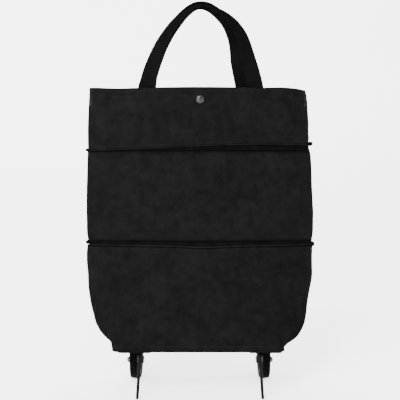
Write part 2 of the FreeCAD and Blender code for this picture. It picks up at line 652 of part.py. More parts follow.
def make_bracket():
    top = BRIDGE_TOP_Z
    y0 = BRACKET_Y - BRACKET_TOP_LENGTH / 2
    y1 = BRACKET_Y + BRACKET_TOP_LENGTH / 2
    bridge = box(PIN_X, OUTER_CHEEK_X + CHEEK, y0, y1, top - CHEEK, top)
    barrel = rod_y(BARREL_R, PIN_X, PIN_Z, y0, y1)
    bracket = bridge.fuse(barrel)
    for x in (INNER_CHEEK_X, OUTER_CHEEK_X):
        corners = [
            V(x, y0, top), V(x, y1, top),
            V(x, WHEEL_Y + CHEEK_END_R, WHEEL_R + 1), V(x, WHEEL_Y - CHEEK_END_R, WHEEL_R + 1),
        ]
        side = Part.Face(Part.makePolygon(corners + [corners[0]])).extrude(V(CHEEK, 0, 0))
        bracket = bracket.fuse([side, rod_x(CHEEK_END_R, WHEEL_Y, WHEEL_R, x, x + CHEEK)])
    bracket = bracket.cut(rod_y(PIN_R + PIN_RUN, PIN_X, PIN_Z, y0 - 1, y1 + 1))
    axle_hole = rod_x(AXLE_R + PIN_FIT, WHEEL_Y, WHEEL_R,
                      INNER_CHEEK_X - 1, OUTER_CHEEK_X + CHEEK + 1)
    save_pair(bracket.cut(axle_hole).removeSplitter(), "wheel_bracket")

    # axle: low head inside, domed cap nut outside
    head_x = INNER_CHEEK_X - AXLE_HEAD
    nut_x = OUTER_CHEEK_X + CHEEK
    axle = rod_x(AXLE_R, WHEEL_Y, WHEEL_R, head_x, nut_x + CAP_NUT_HEIGHT * 0.5)
    axle = axle.fuse(rod_x(AXLE_HEAD_R, WHEEL_Y, WHEEL_R, head_x, INNER_CHEEK_X))
    save_pair(axle, "axle")

    ball = Part.makeSphere(CAP_NUT_R, V(nut_x + CAP_NUT_HEIGHT - CAP_NUT_R, WHEEL_Y, WHEEL_R))
    dome = ball.common(rod_x(CAP_NUT_R, WHEEL_Y, WHEEL_R, nut_x + 0.5, nut_x + CAP_NUT_HEIGHT))
    hexagon = [V(nut_x, WHEEL_Y + CAP_NUT_R * math.cos(math.radians(60 * k)),
                 WHEEL_R + CAP_NUT_R * math.sin(math.radians(60 * k))) for k in range(7)]
    nut = Part.Face(Part.makePolygon(hexagon)).extrude(V(2.4, 0, 0)).fuse(dome)
    bore = rod_x(AXLE_R + SCREW_THREAD_AIR, WHEEL_Y, WHEEL_R,
                 nut_x - 1, nut_x + CAP_NUT_HEIGHT * 0.5 + 0.1)
    save_pair(nut.cut(bore), "axle_cap_nut")


def make_wheel():
    def turned(profile):
        """Turns (radius, x offset) points about the axle."""
        points = [V(WHEEL_X + x, WHEEL_Y, WHEEL_R + r) for r, x in profile]
        face = Part.Face(Part.makePolygon(points + [points[0]]))
        return face.revolve(V(WHEEL_X, WHEEL_Y, WHEEL_R), ALONG_X, 360)

    tread = WHEEL_R - TYRE_RIDGE
    half, ridge = TYRE_HALF_WIDTH, TYRE_RIDGE_HALF_WIDTH
    side = [(HUB_R, half - 1.0), (HUB_R + 1.5, half), (tread - TYRE_EDGE, half),
            (tread, half - TYRE_EDGE), (tread, ridge + 0.5), (WHEEL_R, ridge)]
    tyre = side + [(r, -x) for r, x in reversed(side)]
    save_pair(turned(tyre), "tyre")

    bush_r = AXLE_R + AXLE_RUN + BUSH_WALL
    inner_r = HUB_R - HUB_RIM
    rim = HUB_RIM_HALF_WIDTH
    profile = [
        (bush_r, -BOSS_HALF), (HUB_BOSS_R, -BOSS_HALF), (HUB_BOSS_R + 0.8, -HUB_WEB_HALF),
        (inner_r - 0.8, -HUB_WEB_HALF), (inner_r, -rim), (HUB_R, -rim),
        (HUB_R, rim), (inner_r, rim), (inner_r - 0.8, HUB_WEB_HALF),
        (HUB_BOSS_R + 0.8, HUB_WEB_HALF), (HUB_BOSS_R, BOSS_HALF), (bush_r, BOSS_HALF),
    ]
    hub = turned(profile)
    ring_r = (HUB_BOSS_R + inner_r) / 2
    hole_r = (inner_r - HUB_BOSS_R) / 2 - HUB_HOLE_WALL
    for k in range(HUB_HOLES):
        turn = 2 * math.pi * (k + 0.5) / HUB_HOLES
        y = WHEEL_Y + ring_r * math.cos(turn)
        z = WHEEL_R + ring_r * math.sin(turn)
        hub = hub.cut(rod_x(hole_r, y, z, WHEEL_X - 4, WHEEL_X + 4))
    save_pair(hub, "wheel_hub")

    bush = [(AXLE_R + AXLE_RUN, -BOSS_HALF), (bush_r, -BOSS_HALF),
            (bush_r, BOSS_HALF), (AXLE_R + AXLE_RUN, BOSS_HALF)]
    save_pair(turned(bush), "axle_bush")


# ================================================================ wire legs
def bent_wire(points, radii):
    """Straight runs joined by tangent arcs, one radius for each inner point."""
    edges = []
    start = points[0]
    for before, corner, after, radius in zip(points, points[1:], points[2:], radii):
        into = (corner - before).normalize()
        out = (after - corner).normalize()
        half_turn = into.getAngle(out) / 2
        back = radius * math.tan(half_turn)
        first, last = corner - into * back, corner + out * back
        inner = (out - into).normalize()
        centre = corner + inner * (radius / math.cos(half_turn))
        edges.append(Part.makeLine(start, first))
        edges.append(Part.Arc(first, centre - inner * radius, last).toShape())
        start = last
    edges.append(Part.makeLine(start, points[-1]))
    return Part.Wire(edges)


def make_leg():
    """A stand leg bent from one wire. Its top runs back through the hinge plate's two
    knuckles to an upset head, and its round foot stands on the floor."""
    drop = (PIN_Z - WIRE_R) / math.cos(math.radians(LEG_SPLAY))
    foot = V(PIN_X, LEG_TOP_FRONT_Y - LEG_FOOT_FORWARD, PIN_Z - drop)
    points = [V(PIN_X, LEG_HEAD_Y, PIN_Z), V(PIN_X, LEG_TOP_FRONT_Y, PIN_Z), foot]
    path = bent_wire(points, [LEG_TOP_BEND])
    ring = Part.Wire(Part.makeCircle(WIRE_R, points[0], V(0, -1, 0)))
    wire = path.makePipeShell([ring], True, False)
    head = rod_y(WIRE_R + LEG_HEAD_STEP, PIN_X, PIN_Z, LEG_HEAD_Y, LEG_HEAD_Y + LEG_HEAD)
    leg = wire.fuse([head, Part.makeSphere(WIRE_R, foot)])
    leg.rotate(V(PIN_X, 0, PIN_Z), ALONG_Y, -LEG_SPLAY)
    save_pair(leg, "wire_leg")


def main():
    os.makedirs("parts", exist_ok=True)
    make_cloth()
    make_press_stud()
    make_handles()
    make_zip()
    make_base()
    make_hinge_plate()
    make_bracket()
    make_wheel()
    make_leg()


main()
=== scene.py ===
# %% [markdown]
# A slim cloth trolley bag, dressed round its engineering model. The model brings
# the hard parts, already in place: hinge plates, brackets, axles, wheels and wire
# legs. What it can't bring is cloth, so this file makes the bag's walls, webbing
# and zip as meshes of their own, and gives every surface a finish.
#
# The bag is three short tubes of cloth, one above the other, with half a zip
# between each pair. So most of the file is one idea used three times: draw the
# bag's outline at a height, stack the outlines into a grid of points, then push
# the points about where cloth would crease.

# %% Load the engineering model
import math

import bmesh
import bpy
import numpy as np
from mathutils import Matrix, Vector, noise


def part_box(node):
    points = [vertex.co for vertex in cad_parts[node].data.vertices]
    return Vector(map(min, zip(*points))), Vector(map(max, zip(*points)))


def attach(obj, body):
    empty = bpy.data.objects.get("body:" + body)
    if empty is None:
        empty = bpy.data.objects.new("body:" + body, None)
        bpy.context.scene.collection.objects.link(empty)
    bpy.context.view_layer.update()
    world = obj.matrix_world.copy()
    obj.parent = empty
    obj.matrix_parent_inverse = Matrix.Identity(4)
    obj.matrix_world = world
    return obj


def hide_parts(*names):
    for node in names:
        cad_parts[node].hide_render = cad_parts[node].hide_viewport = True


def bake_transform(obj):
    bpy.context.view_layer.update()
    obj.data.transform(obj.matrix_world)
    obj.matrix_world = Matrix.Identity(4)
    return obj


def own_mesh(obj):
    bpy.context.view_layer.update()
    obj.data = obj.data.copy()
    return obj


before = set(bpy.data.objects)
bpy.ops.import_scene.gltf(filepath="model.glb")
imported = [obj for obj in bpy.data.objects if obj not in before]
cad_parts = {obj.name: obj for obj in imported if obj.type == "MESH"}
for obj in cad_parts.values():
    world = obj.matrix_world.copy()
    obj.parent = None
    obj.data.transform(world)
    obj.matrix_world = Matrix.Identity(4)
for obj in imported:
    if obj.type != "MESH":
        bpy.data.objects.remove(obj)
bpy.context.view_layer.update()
MM = 0.001

# %% [markdown]
# Every height and width below is read from the model's own pieces, so the cloth
# still fits if the bag is made another size. A node's box gives its lowest and
# highest corner at rest.

# %% Read the levels
def low_high(node):
    low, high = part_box(node)
    return np.array(low), np.array(high)


top_low, top_high = low_high("top_section")
panel_low, panel_high = low_high("base_panel")
coil_up_low, coil_up_high = low_high("zip_coil_upper")
coil_down_low, coil_down_high = low_high("zip_coil_lower")

BASE_Z, SEAM_Z = panel_low[2], low_high("lower_section")[1][2]
UPPER_Z, RIM_Z = top_low[2], top_high[2]
FLAT_W = top_high[0]
FLAT_D = coil_up_high[1] - 0.6 * MM
BASE_D = panel_high[1]
tail_low, tail_high = low_high("handle_tails")
print("base %.3f, seams %.3f and %.3f, rim %.3f" % (BASE_Z, SEAM_Z, UPPER_Z, RIM_Z))
print("half-width %.3f, half-depth %.3f" % (FLAT_W, FLAT_D))

# %% [markdown]
# The camera comes early, because a shape is easiest to judge from the place it
# will be seen from. It stands in front of the bag at mid height and looks almost
# level, down by a little over one degree.

# %% Camera
CAMERA_DISTANCE = 0.810
CAMERA_HEIGHT = 0.315
CAMERA_PITCH = math.radians(-1.33)
LENS = 45.7

camera_data = bpy.data.cameras.new("camera")
camera_data.lens = LENS
camera_data.sensor_width = 36
camera = bpy.data.objects.new("camera", camera_data)
camera.location = (0, -CAMERA_DISTANCE, CAMERA_HEIGHT)
camera.rotation_euler = (math.pi / 2 + CAMERA_PITCH, 0, 0)
bpy.context.scene.collection.objects.link(camera)
bpy.context.scene.camera = camera

# %% [markdown]
# The bag's outline at one height. Near the foot it is a box with round corners,
# and higher up it is a lens, two gentle curves that meet in a point at each side
# seam. One formula makes both: powers of sine and cosine. Points are then spread
# evenly along the line, because cloth has the same weave everywhere.

# %% The outline and the grid
AROUND = 336                       # points round the bag; a multiple of four
SQUARE = 0.13                      # how square the foot is; 1 would be an ellipse


def outline(half_width, half_depth, lens):
    """Closed outline from the right side seam, over the back, evenly spaced."""
    turn = np.linspace(0, math.pi / 2, 721)
    side = SQUARE + (1.0 - SQUARE) * lens
    deep = SQUARE + (2.0 - SQUARE) * lens
    x = half_width * np.cos(turn) ** side
    y = half_depth * np.sin(turn) ** deep
    x[-1] = 0
    steps = np.r_[0, np.cumsum(np.hypot(np.diff(x), np.diff(y)))]
    even = np.linspace(0, steps[-1], AROUND // 4 + 1)
    x, y = np.interp(even, steps, x), np.interp(even, steps, y)
    quarter = np.c_[x, y]
    back = np.r_[quarter, quarter[-2::-1] * (-1, 1)]
    return np.r_[back, back[-2:0:-1] * (1, -1)]


def outward(ring):
    """Unit normals of a closed outline, level."""
    along = np.roll(ring, -1, 0) - np.roll(ring, 1, 0)
    normal = np.c_[along[:, 1], -along[:, 0]]
    return normal / np.maximum(np.linalg.norm(normal, axis=1, keepdims=True), 1e-9)


def smooth(low, high, value):
    """0 at low, 1 at high, and an easy curve between."""
    t = np.clip((value - low) / (high - low), 0, 1)
    return t * t * (3 - 2 * t)


def bump(value, centre, width):
    return np.exp(-((value - centre) / width) ** 2)


def tube_mesh(name, rows, closed=True):
    """A mesh from rows of points; each row is a ring when closed."""
    count, around = len(rows), len(rows[0])
    faces = []
    span = around if closed else around - 1
    for i in range(count - 1):
        for j in range(span):
            k = (j + 1) % around
            faces.append((i * around + j, i * around + k,
                          (i + 1) * around + k, (i + 1) * around + j))
    mesh = bpy.data.meshes.new(name)
    mesh.from_pydata(np.concatenate(rows).tolist(), [], faces)
    mesh.polygons.foreach_set("use_smooth", [True] * len(faces))
    piece = bpy.data.objects.new(name, mesh)
    bpy.context.scene.collection.objects.link(piece)
    return piece


# %% [markdown]
# Creases. Soft coated cloth never lies flat: it has broad slow swells, and finer
# dents that run mostly across or mostly down. Layered noise gives both. The front
# and back read different parts of the noise, so they don't mirror each other.

# %% Crease fields
def noise_at(points, scale, stretch, seed):
    """Smooth noise from -1 to 1 at each point, stretched along the three axes."""
    made = np.empty(len(points))
    for i, point in enumerate(points):
        where = Vector([p / (scale * s) for p, s in zip(point, stretch)])
        made[i] = noise.noise(where + Vector((seed, 2.3 * seed, 0.7 * seed)))
    return made


def creases(points, depth, seed):
    """How far cloth swells and dents, in metres."""
    sided = points.copy()
    sided[:, 1] = np.where(points[:, 1] > 0, 5.0, 0.0)
    broad = noise_at(sided, 0.085, (1.3, 1, 1), seed)
    across = noise_at(sided, 0.034, (2.4, 1, 0.8), seed + 7)
    slant = noise_at(sided + sided[:, [2, 2, 2]] * (0.7, 0, 0), 0.026, (0.7, 1, 1.9), seed + 13)
    fine = noise_at(sided, 0.011, (1.3, 1, 1), seed + 21)
    return depth * (0.9 * broad + 0.55 * across + 0.45 * slant + 0.14 * fine)


# %% [markdown]
# The lower section holds the tray, so its foot is a box with a sharp bottom edge
# and small boxed corners. It swells above the tray, then closes to the flat zip
# seam. Both sides keep a soft fold where the gusset turns in.

# %% Lower section
LOWER_ROWS = 76
LOWER_HEIGHT = SEAM_Z - BASE_Z
# share of the height: left and right half widths over the seam's, depth over the base's, lens
SWELL = (
    (0.000, 0.744, 0.715, 1.00, 0.00),
    (0.012, 0.748, 0.716, 1.00, 0.00),
    (0.035, 0.755, 0.720, 1.00, 0.00),
    (0.055, 0.756, 0.732, 1.00, 0.02),
    (0.076, 0.784, 0.805, 1.01, 0.19),
    (0.100, 0.850, 0.871, 1.02, 0.34),
    (0.140, 0.897, 0.911, 1.03, 0.42),
    (0.200, 0.925, 0.934, 1.03, 0.50),
    (0.260, 0.945, 0.945, 1.02, 0.58),
    (0.325, 0.962, 0.952, 0.99, 0.68),
    (0.386, 0.974, 0.959, 0.94, 0.76),
    (0.448, 0.984, 0.967, 0.88, 0.84),
    (0.510, 0.991, 0.976, 0.82, 0.89),
    (0.571, 0.998, 0.985, 0.76, 0.93),
    (0.632, 1.001, 0.995, 0.69, 0.965),
    (0.694, 1.002, 1.002, 0.63, 0.985),
    (0.815, 1.010, 1.003, 0.53, 1.00),
    (0.940, 1.011, 1.004, 0.46, 1.00),
    (1.000, 1.003, 1.003, 0.425, 1.00),
)


def softly(table, share, nudge=0.012):
    """A row of a table at a share of the height, with its corners rounded off."""
    table = np.array(table)
    got = 0
    for step, weight in ((-nudge, 0.25), (0, 0.5), (nudge, 0.25)):
        where = min(max(share + step, 0), 1)
        got = got + weight * np.array([np.interp(where, table[:, 0], column)
                                       for column in table[:, 1:].T])
    return got


def uneven(left, right, half_depth, lens):
    """An outline whose two sides differ, as hand-cut cloth does."""
    mean = (left + right) / 2
    ring = outline(FLAT_W * mean, half_depth, lens)
    ring[:, 0] *= np.where(ring[:, 0] < 0, left, right) / mean
    return ring


def lower_grid():
    rows = []
    edge_dip = 2.0 * MM
    for i in range(LOWER_ROWS + 1):
        share = (i / LOWER_ROWS) ** 1.15
        left, right, deep, lens = softly(SWELL, share)
        ring = uneven(left, right, deep * BASE_D, lens)
        out = outward(ring)
        z = np.full(len(ring), BASE_Z + share * LOWER_HEIGHT)
        z -= edge_dip * bump(ring[:, 0], 8 * MM, 42 * MM) * smooth(0.75, 1.0, share)
        points = np.c_[ring, z]
        calm = smooth(0.0, 0.14, share) * (1 - 0.75 * smooth(0.93, 1.0, share))
        side = smooth(0.80, 0.99, abs(ring[:, 0]) / FLAT_W)
        push = creases(points, 2.1 * MM, 3) * calm * (1 - 0.7 * side)
        # puckers where the seam gathers the cloth, strongest near the left
        gather = bump(ring[:, 0], -0.135, 0.030) + 0.45 * bump(ring[:, 0], 0.110, 0.050)
        ripple = np.sin(ring[:, 0] / 0.0042) * bump(share, 0.955, 0.030)
        push += 0.9 * MM * gather * ripple
        # the tray's rim shows as a ridge just above the foot
        push += 0.9 * MM * bump(share, 0.043, 0.011) * (1 - smooth(0.60, 0.66, abs(ring[:, 0]) / FLAT_W))
        # the cloth rolls over the tray's edge
        push += 1.1 * MM * bump(share, 0.085, 0.028) * (1 - side)
        push -= 0.9 * MM * bump(share, 0.145, 0.035) * (1 - side)
        points[:, :2] += out * push[:, None]
        rows.append(points)
    return rows


lower_bag = tube_mesh("lower_bag", lower_grid())
print("lower section:", len(lower_bag.data.vertices), "points")

# %% [markdown]
# The middle section is the cloth that disappears when the bag is shortened. It is
# sewn behind both zip tapes, so it stands a little inside its neighbours, and its
# creases only go inwards: then it can never poke through the zip as it folds.

# %% Middle section
MIDDLE_ROWS = 60
MIDDLE_INSET = 2.4 * MM
MIDDLE_TUCK = 5.0 * MM


# share of the height: left and right half widths over the seam's
MIDDLE_SIDES = (
    (0.00, 0.985, 0.985),
    (0.05, 0.992, 0.990),
    (0.09, 1.002, 1.001),
    (0.16, 1.010, 1.010),
    (0.35, 1.012, 1.011),
    (0.45, 1.012, 1.006),
    (0.58, 1.010, 0.999),
    (0.70, 1.006, 0.995),
    (0.83, 1.003, 0.990),
    (0.90, 1.000, 0.985),
    (0.95, 0.996, 0.972),
    (1.00, 0.990, 0.962),
)


def middle_grid():
    rows = []
    low, high = SEAM_Z - MIDDLE_TUCK, UPPER_Z + MIDDLE_TUCK
    for i in range(MIDDLE_ROWS + 1):
        share = i / MIDDLE_ROWS
        left, right = softly(MIDDLE_SIDES, share)
        ring = uneven(left, right, FLAT_D - MIDDLE_INSET, 1.0)
        out = outward(ring)
        z = low + share * (high - low)
        points = np.c_[ring, np.full(len(ring), z)]
        calm = smooth(0.02, 0.16, share) * (1 - smooth(0.86, 0.98, share))
        dent = creases(points, 1.5 * MM, 11)
        push = np.minimum(dent - 1.0 * MM, 0) * calm
        side = smooth(0.85, 0.995, abs(ring[:, 0]) / FLAT_W)
        points[:, :2] += out * (push * (1 - side))[:, None]
        rows.append(points)
    return rows


middle_cloth = tube_mesh("middle_cloth", middle_grid())

# %% [markdown]
# The top section ends in a deep hem, folded in and stitched in three rows. Its
# lower edge is folded too, and hangs a little lower on the left than on the right,
# where it lets more of the zip tape show.

# %% Top section
TOP_ROWS = 48
HEM = 25 * MM
STITCH_BELOW_RIM = (5 * MM, 14 * MM, 23 * MM)
RIM_D = low_high("hem_facing")[1][1] + 2.6 * MM
EDGE_LEFT, EDGE_RIGHT = -4.5 * MM, 4.0 * MM


def edge_shift(x):
    """The folded lower edge's height above the seam, along the bag."""
    return EDGE_LEFT + (EDGE_RIGHT - EDGE_LEFT) * smooth(-FLAT_W, 0.75 * FLAT_W, x)


TOP_SIDES = (
    (0.00, 0.994, 0.972),
    (0.09, 0.997, 0.975),
    (0.20, 0.997, 0.964),
    (0.40, 0.996, 0.964),
    (0.60, 0.991, 0.958),
    (0.82, 0.983, 0.949),
    (0.92, 0.980, 0.943),
    (1.00, 0.980, 0.930),
)


def top_grid():
    rows = []
    for i in range(TOP_ROWS + 1):
        share = i / TOP_ROWS
        z_mid = UPPER_Z + share * (RIM_Z - UPPER_Z)
        left, right = softly(TOP_SIDES, share)
        ring = uneven(left, right, FLAT_D + share * (RIM_D - FLAT_D), 1.0)
        out = outward(ring)
        z = np.full(len(ring), z_mid)
        z += edge_shift(ring[:, 0]) * (1 - share) ** 2
        front = ring[:, 1] < 0
        wave = 1.6 * MM * bump(ring[:, 0], 0.125, 0.024) * front
        wave -= 1.6 * MM * smooth(0.150, 0.168, ring[:, 0])
        wave += 3.4 * MM * smooth(-0.120, -0.176, ring[:, 0]) + 1.0 * MM * smooth(0.10, 0.15, ring[:, 0])
        z += (wave - 0.6 * MM) * share ** 2
        points = np.c_[ring, z]
        calm = 0.35 + 0.65 * smooth(0.0, 0.2, share) * (1 - smooth(0.70, 0.78, share))
        side = smooth(0.86, 0.99, abs(ring[:, 0]) / FLAT_W)
        push = creases(points, 1.5 * MM, 29) * calm * (1 - 0.8 * side)
        # stitch rows pull the hem in a little, and its fold stands proud
        depth = RIM_Z - z_mid
        for row in STITCH_BELOW_RIM:
            push -= 0.30 * MM * bump(depth, row, 1.3 * MM)
        push += 0.35 * MM * (1 - smooth(HEM - 1.5 * MM, HEM, depth))
        # the lower fold stands off the zip tape, most on the right
        lip = 0.5 * MM + 1.5 * MM * smooth(-0.06, 0.12, ring[:, 0])
        push += lip * bump(share, 0.0, 0.07) * (1 - side)
        # upright puckers low on the left, and one slanting crease on the right
        pucker = bump(ring[:, 0], -0.132, 0.024) * bump(share, 0.24, 0.15)
        push += 0.9 * MM * np.sin(ring[:, 0] / 0.0031) * pucker
        slant = ring[:, 0] - 0.140 - 0.022 * (0.55 - share)
        push += 1.2 * MM * bump(slant, 0, 0.0045) * bump(share, 0.55, 0.32) * front
        # the lower right corner turns in
        corner = smooth(0.150, 0.172, ring[:, 0]) * bump(share, 0.0, 0.10)
        points[:, 0] -= 3.0 * MM * corner
        points[:, :2] += out * push[:, None]
        rows.append(points)
    return rows


top_cloth = tube_mesh("top_cloth", top_grid())


# %% [markdown]
# Two more pieces take their shape from the walls. The bottom panel is one flat
# piece, sewn round its edge, and the facing lines the hem from the inside.

# %% Bottom panel and facing
FACING_ROWS = 14


def row_points(piece, row):
    return np.array([v.co for v in piece.data.vertices[row * AROUND:(row + 1) * AROUND]])


foot_ring = row_points(lower_bag, 0)
panel_rows = []
for share in np.linspace(1.0, 0.02, 22):
    ring = foot_ring * (share, share, 1) + (0, 0, 0.5 * MM)
    wave = noise_at(ring, 0.03, (1, 1, 1), 41) * smooth(1.0, 0.9, share)
    ring[:, 2] += 0.35 * MM * wave
    panel_rows.append(ring)
bottom_cloth = tube_mesh("bottom_cloth", panel_rows[::-1])
bottom_cloth.data.flip_normals()
facing_rows = []
for row in range(TOP_ROWS - FACING_ROWS, TOP_ROWS + 1):
    ring = row_points(top_cloth, row)
    out = outward(ring[:, :2])
    ring[:, :2] -= out * 2.0 * MM
    ring[:, 2] -= 0.3 * MM
    wave = 0.25 * MM * np.sin(ring[:, 0] / 0.013) * (TOP_ROWS - row) / FACING_ROWS
    ring[:, :2] += out * wave[:, None]
    facing_rows.append(ring)
facing_cloth = tube_mesh("facing_cloth", facing_rows)
print("bottom panel and facing:", len(panel_rows), "and", len(facing_rows), "rows")

# %% [markdown]
# Cloth has two sides. Solidify gives each wall its thickness and puts the lining,
# the second material, on the inside.

# %% Thickness, and what each wall rides on
def give_thickness(piece, thickness):
    shell = piece.modifiers.new("thickness", "SOLIDIFY")
    shell.thickness = thickness
    shell.offset = -1
    shell.material_offset = 1
    shell.use_rim = True
    return piece


for piece in (lower_bag, top_cloth):
    give_thickness(piece, 1.1 * MM)
for piece in (bottom_cloth, facing_cloth):
    give_thickness(piece, 0.7 * MM)
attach(bottom_cloth, "base")
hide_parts("base_panel")
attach(facing_cloth, "top")
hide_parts("hem_facing")
give_thickness(middle_cloth, 0.8 * MM)
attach(lower_bag, "base")
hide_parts("lower_section")
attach(top_cloth, "top")
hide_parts("top_section")
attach(middle_cloth, "base")
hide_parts("middle_section")
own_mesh(middle_cloth)

# %% [markdown]
# A coil zip is a nylon wire wound in a long spring and sewn along a tape. Closed
# zips hide it, but this zip is open all round, so both halves show as a fine dark
# ribbed line. Winding a real spring round the bag costs few points and catches the
# light as the real one does.

# %% Zip tapes and coils
COIL_PITCH = 1.9 * MM
COIL_WIND_R = 1.05 * MM
COIL_WIRE_R = 0.34 * MM
TURN_STEPS = 7
WIRE_SIDES = 5
TAPE_INSET = 0.9 * MM
UPPER_ENDS, LOWER_ENDS = (0.998, 0.974), (0.998, 0.996)


def zip_ring(ends, half_depth, z):
    ring = uneven(*ends, half_depth, 1.0)
    return np.c_[ring, np.full(len(ring), z)]


def zip_tape(name, body, node, ends, z_cloth, z_coil):
    """A flat band from behind the cloth to the coil."""
    rows = []
    for share in np.linspace(0, 1, 7):
        reach = [end - 0.014 * (1 - share) for end in ends]
        ring = zip_ring(reach, FLAT_D - TAPE_INSET, z_cloth + share * (z_coil - z_cloth))
        ring[:, 2] += 0.25 * MM * np.sin(ring[:, 0] / 0.021 + 2.0 * share)
        rows.append(ring)
    if z_coil < z_cloth:
        rows.reverse()
    tape = give_thickness(tube_mesh(name, rows), 0.5 * MM)
    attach(tape, body)
    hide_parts(node)
    return tape


def wound_coil(name, body, node, ends, z, hand):
    """A spring wound along the bag's flat outline."""
    path = zip_ring(ends, FLAT_D - 0.4 * MM, z)
    steps = np.linalg.norm(np.roll(path, -1, 0) - path, axis=1)
    length = steps.sum()
    at = np.r_[0, np.cumsum(steps)]
    turns = int(length / COIL_PITCH)
    count = turns * TURN_STEPS
    where = np.linspace(0, length, count, endpoint=False)
    loop = np.vstack([path, path[:1]])
    centre = np.c_[[np.interp(where, at, loop[:, k]) for k in range(3)]].T
    out2 = outward(path[:, :2])
    out_loop = np.vstack([out2, out2[:1]])
    out = np.c_[[np.interp(where, at, out_loop[:, k]) for k in range(2)]].T
    out = np.c_[out / np.linalg.norm(out, axis=1, keepdims=True), np.zeros(count)]
    turn = hand * 2 * math.pi * np.arange(count) / TURN_STEPS
    up = np.array([0, 0, 1.0])
    spine = centre + COIL_WIND_R * (np.cos(turn)[:, None] * out + np.sin(turn)[:, None] * up)
    along = np.roll(spine, -1, 0) - np.roll(spine, 1, 0)
    along /= np.linalg.norm(along, axis=1, keepdims=True)
    side = np.cross(along, spine - centre)
    side /= np.linalg.norm(side, axis=1, keepdims=True)
    lift = np.cross(side, along)
    rows = []
    for i in range(count):
        angles = 2 * math.pi * np.arange(WIRE_SIDES) / WIRE_SIDES
        rows.append(spine[i] + COIL_WIRE_R * (np.cos(angles)[:, None] * lift[i]
                                              + np.sin(angles)[:, None] * side[i]))
    rows.append(rows[0])
    coil = tube_mesh(name, rows)
    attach(coil, body)
    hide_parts(node)
    return coil, turns


COIL_UP_Z = (coil_up_low[2] + coil_up_high[2]) / 2
COIL_DOWN_Z = (coil_down_low[2] + coil_down_high[2]) / 2
tapes = [
    zip_tape("zip_tape_upper_half", "top", "zip_tape_upper", UPPER_ENDS,
             UPPER_Z + 7 * MM, coil_up_high[2] - 0.6 * MM),
    zip_tape("zip_tape_lower_half", "base", "zip_tape_lower", LOWER_ENDS,
             SEAM_Z - 5 * MM, coil_down_low[2] + 0.6 * MM),
]
coil_up, turns = wound_coil("zip_coil_upper_half", "top", "zip_coil_upper", UPPER_ENDS, COIL_UP_Z, 1)
coil_down, turns = wound_coil("zip_coil_lower_half", "base", "zip_coil_lower", LOWER_ENDS, COIL_DOWN_Z, -1)
print("each coil has", turns, "turns")

# %% [markdown]
# The handles are strips of ribbed webbing, sewn flat inside the hem and twisting as
# they rise, until they lie level where a hand holds them. One function makes a
# strip: an arch for its middle line, a frame that turns along it, and a rounded
# flat section carried along. The strip keeps its own map, across and along, so the
# ribs follow the twist.

# %% Handles
STRAP_W, STRAP_T = 26 * MM, 2.0 * MM
# middle lines: shares of the half span from the middle, and of the height above the rim
FRONT_LINE = (
    (-1.000, 0), (-0.974, 0.044), (-0.942, 0.141), (-0.901, 0.237), (-0.838, 0.334), (-0.783, 0.431),
    (-0.716, 0.528), (-0.637, 0.624), (-0.535, 0.720), (-0.421, 0.816), (-0.279, 0.912), (-0.130, 0.980),
    (0.010, 1.003), (0.160, 0.985), (0.384, 0.912), (0.563, 0.816), (0.674, 0.720), (0.757, 0.624),
    (0.806, 0.528), (0.847, 0.431), (0.886, 0.334), (0.929, 0.237), (0.959, 0.141), (0.991, 0.044), (1.000, 0),
)
BACK_LINE = (
    (-1.000, 0), (-0.965, 0.170), (-0.849, 0.356), (-0.710, 0.542), (-0.504, 0.727), (-0.213, 0.912),
    (-0.020, 0.990), (0.110, 1.003), (0.280, 0.978), (0.440, 0.915), (0.618, 0.822), (0.716, 0.727),
    (0.788, 0.635), (0.828, 0.542), (0.850, 0.449), (0.868, 0.356), (0.908, 0.263), (0.945, 0.170),
    (0.985, 0.076), (1.000, 0),
)
ROLL = math.radians(8)
TAIL = tail_high[2] - tail_low[2]
STRAP_SECTION = 9                  # points across each face
TAIL_POINTS = 12                   # down each tail
STRAP_AIR = 1.1 * MM               # strap to its neighbour


def strap_profile():
    """A flat strip's section with rounded edges: (across, thick) in shares of the half sizes."""
    flat = np.linspace(-0.93, 0.93, STRAP_SECTION)
    face = [(x, 1.0) for x in flat]
    edge = [(0.985, 0.75), (1.0, 0.0), (0.985, -0.75)]
    other = [(x, -1.0) for x in flat[::-1]]
    return face + edge + other + [(-x, -y) for x, y in edge]


def strap_path(ends, height, foot_y, side):
    """Middle line from one tail to the other, and how far the strip has turned at each point."""
    line = np.array(FRONT_LINE if side < 0 else BACK_LINE)
    x = (ends[0] + ends[1]) / 2 + line[:, 0] * (ends[1] - ends[0]) / 2
    z = RIM_Z + line[:, 1] * height
    steps = np.r_[0, np.cumsum(np.hypot(np.diff(x), np.diff(z)))]
    even = np.linspace(0, steps[-1], 171)
    x, z = np.interp(even, steps, x), np.interp(even, steps, z)
    for turn in range(14):
        x[1:-1] = (x[:-2] + 2 * x[1:-1] + x[2:]) / 4
        z[1:-1] = (z[:-2] + 2 * z[1:-1] + z[2:]) / 4
    share = 1 - abs(2 * even / steps[-1] - 1)
    sag = smooth(0, 0.3, share)
    y = side * (foot_y + share * (STRAP_W / 2 + STRAP_AIR - foot_y))
    y += 0.9 * MM * sag * np.sin(even / 0.034 + side)
    z += 0.9 * MM * sag * np.sin(even / 0.027 + 1.3 * side)
    arch = np.c_[x, y, z]
    drop = np.linspace(TAIL, 0, TAIL_POINTS, endpoint=False)
    first, last = [np.c_[np.full(TAIL_POINTS, end), np.full(TAIL_POINTS, side * foot_y), RIM_Z - fall]
                   for end, fall in zip(ends, (drop, drop[::-1]))]
    points = np.vstack([first, arch, last])
    ease = np.r_[np.zeros(TAIL_POINTS), share, np.zeros(TAIL_POINTS)]
    twist = smooth(0, 0.06, ease) * ease ** 0.74 * (1.33 + side * ROLL)
    return points, twist


